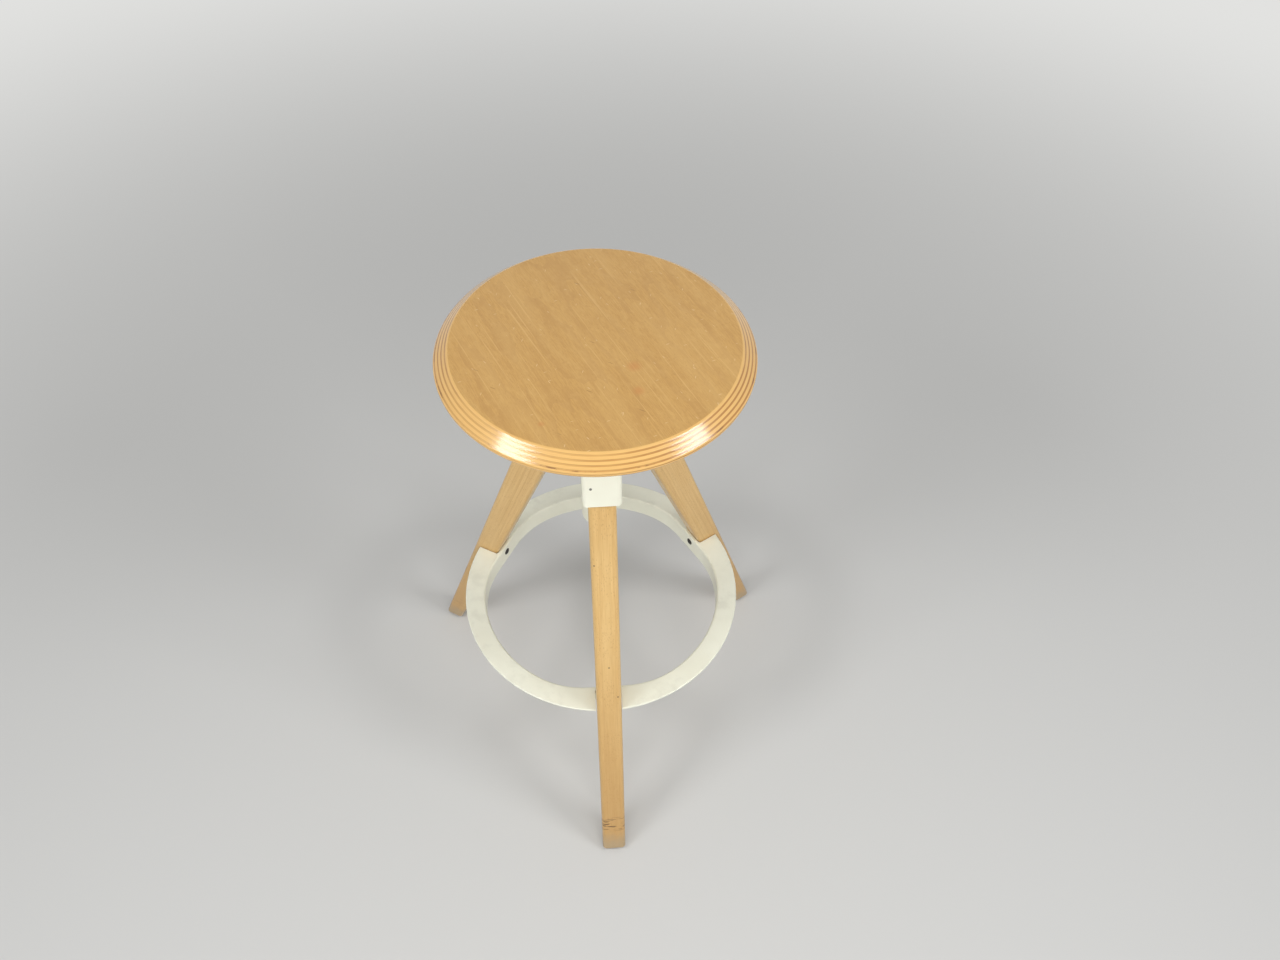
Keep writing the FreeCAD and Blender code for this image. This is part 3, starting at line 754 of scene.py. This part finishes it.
def make_brass_finish():
    """Turned brass: fine rings from the lathe and a brown bloom."""
    finish, tree, shader = new_finish("turned_brass")
    place = place_of(tree)
    bloom = grain(tree, in_frame(tree, place, (6.0, 6.0, 6.0)), 4.0, 0.6)
    turned = grain(tree, in_frame(tree, place, (40.0, 40.0, 0.2)), 2.0, 0.5)
    colour = tint(tree, rise(tree, bloom, 0.40, 0.72), BRASS_BRIGHT, BRASS_BROWN)
    feed(tree, shader.inputs["Base Color"], colour)
    feed(tree, shader.inputs["Roughness"], spread(tree, bloom, 0.24, 0.46))
    feed(tree, shader.inputs["Normal"], relief(tree, turned, 0.012))
    shader.inputs["Metallic"].default_value = 1.0
    return finish


zinc_finish = make_zinc_finish()
spindle_finish = make_spindle_finish()
brass_finish = make_brass_finish()
plate_finish = make_black_finish("black_satin_paint", linear(40, 40, 41), 0.38, 0.52, 0.7, 0.02)
screw_finish = make_black_finish("blackened_screw_steel", linear(46, 43, 40), 0.30, 0.46, 0.4, 0.01)
nylon_finish = make_black_finish("black_nylon", linear(52, 50, 48), 0.45, 0.62, 1.1, 0.015)
small_finishes = {
    "seat_plate": plate_finish,
    "guide_sleeve": nylon_finish,
    "foot_glides": nylon_finish,
    "spindle_nut": brass_finish,
}
for zinc_node in ("stop_washer", "stop_screw", "leg_washers", "leg_barrel_nuts", "glide_nails"):
    small_finishes[zinc_node] = zinc_finish
for small_node, small_finish in small_finishes.items():
    nodes[small_node].material_slots[0].material = small_finish
print("finished", len(small_finishes), "small nodes")

# %% [markdown]
# ## Spindle with its thread
#
# The spindle lifts the seat six millimetres a turn, so its thread is coarse and deep. A boolean cut along a
# helix would be slow and fragile. Instead the radius is a formula: the crest's height divided by the pitch,
# less the angle as a share of a turn, is a whole number, and between crests the radius drops to the root.
# The weld under the plate is part of the same surface, with the ripples that a welder's beads leave.

# %% Spindle as a turned surface with a helical groove
SPINDLE_RADIUS = 11.0 * MM
SPINDLE_END_RADIUS = 8.0 * MM
THREAD_PITCH = 6.0 * MM
THREAD_DEPTH = 1.7 * MM
THREAD_STEP = 0.4 * MM
WELD_SIZE = 5.0 * MM
WELD_RIPPLE = 0.45 * MM
WELD_BEADS = 26
SPINDLE_STEPS = 64
spindle_low, spindle_high = np.array(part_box("spindle"))
SLEEVE_GAP = 0.3 * MM
sleeve_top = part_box("guide_sleeve")[1][2] + SLEEVE_GAP


def smooth(share):
    """A smooth rise from 0 to 1: 3 s squared less 2 s cubed."""
    share = np.clip(share, 0.0, 1.0)
    return share * share * (3.0 - 2.0 * share)


def spindle_rings():
    """The end, the threaded length, the weld and the tenon, from the bottom pole to the top pole."""
    angle = 2 * np.pi * np.arange(SPINDLE_STEPS) / SPINDLE_STEPS
    thread_top = plate_under - WELD_SIZE
    height = np.arange(sleeve_top, thread_top, THREAD_STEP)[:, None]
    turns = np.mod(height / THREAD_PITCH - angle / (2 * np.pi), 1.0)
    groove = 1.0 - smooth((np.abs(2.0 * turns - 1.0) - 0.28) / 0.44)
    inside = np.minimum(height - sleeve_top, thread_top - height) / THREAD_PITCH
    threaded = SPINDLE_RADIUS - THREAD_DEPTH * groove * smooth(inside)
    share = np.linspace(0.0, 1.0, 9)[:, None]
    bead = np.sin(np.pi * share) * (1.0 + np.cos(WELD_BEADS * angle)) / 2
    weld_radius = SPINDLE_RADIUS + WELD_SIZE * share ** 1.3 + WELD_RIPPLE * bead
    weld_height = thread_top + WELD_SIZE * share
    end = SPINDLE_END_RADIUS
    low = np.array([[0.0, spindle_low[2]], [end, spindle_low[2]], [end, sleeve_top]])
    high = np.array([[end, plate_under], [end, spindle_high[2]], [0.0, spindle_high[2]]])
    return np.concatenate([
        lathed(low, SPINDLE_STEPS),
        spun(threaded, height, SPINDLE_STEPS),
        spun(weld_radius, weld_height, SPINDLE_STEPS),
        lathed(high, SPINDLE_STEPS),
    ])


spindle = skin("threaded_spindle", [spindle_rings()], spindle_finish, 50.0)
hand_over(spindle, "seat", "spindle")

# %% [markdown]
# ## Screws with a cross recess
#
# A driver's cross is two crossed bars pressed into the head, deepest in the middle. On a grid of rings that
# is a drop in height: a point lies in a bar if it is nearer to the bar's middle line than half its width.
# The ring's screws have a domed head, and those under the plate a countersunk head flush with the plate.

# %% Round-headed ring screws
SCREW_STEPS = 96
DOME_RINGS = 26
RECESS_BLUR = 0.22 * MM
RING_SCREW_LENGTH = 36.0 * MM
RING_SCREW_HEAD = 5.2 * MM
RING_SCREW_RISE = 1.8 * MM
RING_SCREW_SHANK = 2.5 * MM
RING_SCREW_CROSS = (2.9 * MM, 0.55 * MM, 1.2 * MM)
SCREW_POINT = 4.0 * MM
ring_screw_low, ring_screw_high = np.array(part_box("ring_screws"))
ring_screw_height = (ring_screw_low[2] + ring_screw_high[2]) / 2
ring_flat_distance = -ring_screw_low[1] - RING_SCREW_LENGTH


def cross_recess(rings, reach, half_width, depth):
    """Depth at each point of two crossed bars, blurred at their sides and shallower towards their ends."""
    x, y = np.abs(rings[..., 0]), np.abs(rings[..., 1])

    def bar(along, across):
        within = np.clip((reach - along) / RECESS_BLUR, 0, 1)
        return within * np.clip((half_width - across) / RECESS_BLUR + 0.5, 0, 1)

    slope = 1.0 - 0.55 * np.hypot(x, y) / reach
    return depth * np.maximum(bar(x, y), bar(y, x)) * slope


def ring_screw():
    """Tip, shank and dome along +Z: the dome is its rise times the root of 1 less (r / R) squared."""
    radius = RING_SCREW_HEAD * np.cos(np.linspace(0.0, np.pi / 2, DOME_RINGS))[:, None]
    dome = spun(radius, RING_SCREW_RISE * np.sqrt(1.0 - (radius / RING_SCREW_HEAD) ** 2), SCREW_STEPS)
    dome[..., 2] -= cross_recess(dome, *RING_SCREW_CROSS)
    shank = np.array([
        [0.0, -RING_SCREW_LENGTH],
        [RING_SCREW_SHANK, SCREW_POINT - RING_SCREW_LENGTH],
        [RING_SCREW_SHANK, 0.0],
    ])
    return np.concatenate([lathed(shank, SCREW_STEPS), dome])


def ring_screw_copies():
    """One screw per leg, with its head towards the stool's axis."""
    copies = []
    for azimuth in LEG_AZIMUTHS.values():
        outwards, sideways = level_directions(azimuth)
        origin = ring_flat_distance * outwards + ring_screw_height * UPRIGHT
        copies.append(placed(ring_screw(), origin, sideways, -outwards))
    return copies


ring_screws = skin("ring_round_head_screws", ring_screw_copies(), screw_finish, 35.0)
hand_over(ring_screws, "base", "ring_screws")

# %% Countersunk screws under the seat plate
PLATE_SCREW_COUNT = 6
PLATE_SCREW_LENGTH = 21.0 * MM
PLATE_SCREW_HEAD = 4.75 * MM
PLATE_SCREW_SHANK = 2.4 * MM
PLATE_SCREW_SINK = 2.8 * MM
PLATE_SCREW_CROSS = (2.7 * MM, 0.5 * MM, 1.6 * MM)
plate_screw_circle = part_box("seat_plate_screws")[1][0] - PLATE_SCREW_HEAD


def plate_screw():
    """Tip, shank and countersunk head along +Z, with the flat face of the head at height 0."""
    radius = np.linspace(PLATE_SCREW_HEAD, 0.0, DOME_RINGS)[:, None]
    face = spun(radius, np.zeros_like(radius), SCREW_STEPS)
    face[..., 2] -= cross_recess(face, *PLATE_SCREW_CROSS)
    shank = np.array([
        [0.0, -PLATE_SCREW_LENGTH],
        [PLATE_SCREW_SHANK, SCREW_POINT - PLATE_SCREW_LENGTH],
        [PLATE_SCREW_SHANK, -PLATE_SCREW_SINK],
    ])
    return np.concatenate([lathed(shank, SCREW_STEPS), face])


def plate_screw_copies():
    """Screws round the plate, with their heads down."""
    copies = []
    for azimuth in 360.0 * np.arange(PLATE_SCREW_COUNT) / PLATE_SCREW_COUNT:
        outwards, _ = level_directions(azimuth)
        origin = plate_screw_circle * outwards + plate_under * UPRIGHT
        copies.append(placed(plate_screw(), origin, outwards, -UPRIGHT))
    return copies


plate_screws = skin("plate_countersunk_screws", plate_screw_copies(), zinc_finish, 35.0)
hand_over(plate_screws, "seat", "seat_plate_screws")

# %% [markdown]
# ## Hexagon bolts on the hub
#
# A bolt's head is a hexagon whose corners are turned off by a cone. In polar form a hexagon's radius is
# half its width across the flats, divided by the cosine of the angle to the nearest flat's middle. The cone
# gives a second radius, which shrinks towards the top, and the head takes the smaller of the two.

# %% Leg bolts
BOLT_FLATS = 13.0 * MM
BOLT_HEAD_HEIGHT = 5.3 * MM
BOLT_RADIUS = 4.0 * MM
BOLT_LENGTH = 47.1 * MM
BOLT_SEAT = 8.1 * MM
BOLT_FACE_SHARE = 0.95
CONE_SLOPE = 1.73
BOLT_CONE_HEIGHT = 1.6 * MM
BOLT_CONE_RINGS = 9


def leg_bolt():
    """Shank and hexagon head along +Z, with the head's underside at height 0."""
    angle = 2 * np.pi * np.arange(SCREW_STEPS) / SCREW_STEPS
    from_flat = np.mod(angle + np.pi / 6, np.pi / 3) - np.pi / 6
    hexagon = BOLT_FLATS / 2 / np.cos(from_flat)
    cone_start = BOLT_HEAD_HEIGHT - BOLT_CONE_HEIGHT
    cone_heights = np.linspace(cone_start, BOLT_HEAD_HEIGHT, BOLT_CONE_RINGS)
    height = np.concatenate([[0.0], cone_heights])[:, None]
    face_radius = BOLT_FACE_SHARE * BOLT_FLATS / 2
    cone = face_radius + CONE_SLOPE * (BOLT_HEAD_HEIGHT - height)
    head = spun(np.minimum(hexagon, cone), height, SCREW_STEPS)
    shank = np.array([[0.0, -BOLT_LENGTH], [BOLT_RADIUS, -BOLT_LENGTH], [BOLT_RADIUS, 0.0]])
    top = np.array([[0.5 * face_radius, BOLT_HEAD_HEIGHT], [0.0, BOLT_HEAD_HEIGHT]])
    return np.concatenate([
        lathed(shank, SCREW_STEPS),
        head,
        lathed(top, SCREW_STEPS),
    ])


def leg_bolt_copies():
    """One bolt per leg, along the leg's own slant."""
    copies = []
    for azimuth in LEG_AZIMUTHS.values():
        outwards, sideways = level_directions(azimuth)
        up_leg = math.cos(LEG_TILT) * UPRIGHT - math.sin(LEG_TILT) * outwards
        origin = LEG_HEAD_RADIUS * outwards + LEG_HEAD_HEIGHT * UPRIGHT + BOLT_SEAT * up_leg
        copies.append(placed(leg_bolt(), origin, sideways, up_leg))
    return copies


leg_bolts = skin("leg_hexagon_bolts", leg_bolt_copies(), zinc_finish, 30.0)
hand_over(leg_bolts, "base", "leg_bolts")

# %% [markdown]
# ## Studio
#
# A plain pale floor and soft light. Two panels hang high above the front: they light the seat and the front
# of the ring, and the seat's own shadow falls on the back of the ring. Two small soft boxes, lower at the
# left and right, stand where the seat's lacquered rim mirrors them as two bright spots. A wide panel in
# front lights what stands upright, and a pale sky fills the shadows. The wide panels are kept out of
# reflections, or the seat would mirror them as one white glare from behind. Rays from the camera, in gloss
# and through glass see a pale backdrop colour, which doesn't light the stool. The far floor fades into it,
# so that no dark edge of the floor shows from a low angle.

# %% Floor, sky and lamps
FLOOR_SIZE = 12.0
FADE_START = 0.6
FADE_END = 3.2
FLOOR_COLOUR = linear(214, 214, 212)
BACKDROP_COLOUR = linear(226, 226, 224)
SKY_STRENGTH = 0.35
SEAT_SPOT = (0.0, 0.0, 0.7)
LEG_SPOT = (0.0, 0.0, 0.5)
SOFT_BOX_POWER = 10.0
SOFT_BOX_SIZE = (0.60, 0.36)
SOFT_BOX_PLACES = {"soft_box_left": (-1.18, -0.73, 1.71), "soft_box_right": (1.25, -0.69, 1.66)}
FRONT_PANEL_POWER = 15.0
FRONT_PANEL_SIZE = (2.0, 1.2)
FRONT_PANEL_PLACE = (0.0, -2.0, 1.1)
TOP_PANEL_POWER = 8.5
TOP_PANEL_SIZE = (0.9, 0.9)
TOP_PANEL_PLACES = {"top_panel_left": (-0.55, -0.7, 3.6), "top_panel_right": (0.55, -0.7, 3.6)}


def seen_rays(tree):
    """1 for rays from the camera, in gloss and through glass, and 0 for rays that light the stool."""
    rays = add(tree, "ShaderNodeLightPath", {})
    seen = calc(tree, "MAXIMUM", rays.outputs["Is Camera Ray"], rays.outputs["Is Glossy Ray"])
    return calc(tree, "MAXIMUM", seen, rays.outputs["Is Transmission Ray"])


def make_floor():
    """A square of plain floor, which fades into the backdrop's colour with its distance from the stool."""
    half = FLOOR_SIZE / 2
    corners = np.array([[-half, -half, 0], [half, -half, 0], [half, half, 0], [-half, half, 0]])
    mesh = bpy.data.meshes.new("studio_floor")
    mesh.from_pydata(corners.tolist(), [], [(0, 1, 2, 3)])
    floor = bpy.data.objects.new("studio_floor", mesh)
    bpy.context.scene.collection.objects.link(floor)
    finish, tree, shader = new_finish("floor_paint")
    shader.inputs["Base Color"].default_value = FLOOR_COLOUR
    shader.inputs["Roughness"].default_value = 0.75
    shader.inputs["Specular IOR Level"].default_value = 0.2
    away = length_of(tree, place_of(tree))
    share = calc(tree, "MULTIPLY", rise(tree, away, FADE_START, FADE_END), seen_rays(tree))
    far = add(tree, "ShaderNodeEmission", {"Color": BACKDROP_COLOUR, "Strength": 1.0})
    mixed = add(tree, "ShaderNodeMixShader", {0: share, 1: shader.outputs[0], 2: far.outputs[0]})
    feed(tree, tree.nodes["Material Output"].inputs["Surface"], mixed.outputs[0])
    mesh.materials.append(finish)
    return floor


def make_sky():
    """A white sky that lights the stool, and a pale backdrop that rays from the camera and in gloss see."""
    world = bpy.data.worlds.new("studio_sky")
    bpy.context.scene.world = world
    world.use_nodes = True
    tree = world.node_tree
    tree.nodes.clear()
    light = add(tree, "ShaderNodeBackground", {"Color": (1, 1, 1, 1), "Strength": SKY_STRENGTH})
    backdrop = add(tree, "ShaderNodeBackground", {"Color": BACKDROP_COLOUR, "Strength": 1.0})
    inputs = {0: seen_rays(tree), 1: light.outputs[0], 2: backdrop.outputs[0]}
    mixed = add(tree, "ShaderNodeMixShader", inputs)
    add(tree, "ShaderNodeOutputWorld", {"Surface": mixed.outputs[0]})


def make_panel(name, place, target, size, power, mirrored):
    """A rectangular lamp that faces a target, and that is mirrored in glossy surfaces or not."""
    data = bpy.data.lights.new(name, "AREA")
    data.shape = "RECTANGLE"
    data.size, data.size_y = size
    data.energy = power
    lamp = bpy.data.objects.new(name, data)
    away = np.array(place) - np.array(target)
    away = away / np.linalg.norm(away)
    side = np.cross([0.0, 0.0, 1.0], away)
    side = side / np.linalg.norm(side)
    aim(lamp, side, np.cross(away, side), away, place)
    lamp.visible_glossy = mirrored
    bpy.context.scene.collection.objects.link(lamp)


make_floor()
make_sky()
for box_name, box_place in SOFT_BOX_PLACES.items():
    make_panel(box_name, box_place, SEAT_SPOT, SOFT_BOX_SIZE, SOFT_BOX_POWER, True)
make_panel("front_panel", FRONT_PANEL_PLACE, LEG_SPOT, FRONT_PANEL_SIZE, FRONT_PANEL_POWER, False)
for panel_name, panel_place in TOP_PANEL_PLACES.items():
    make_panel(panel_name, panel_place, SEAT_SPOT, TOP_PANEL_SIZE, TOP_PANEL_POWER, False)
bpy.context.scene.view_settings.view_transform = "Standard"
print("studio ready")
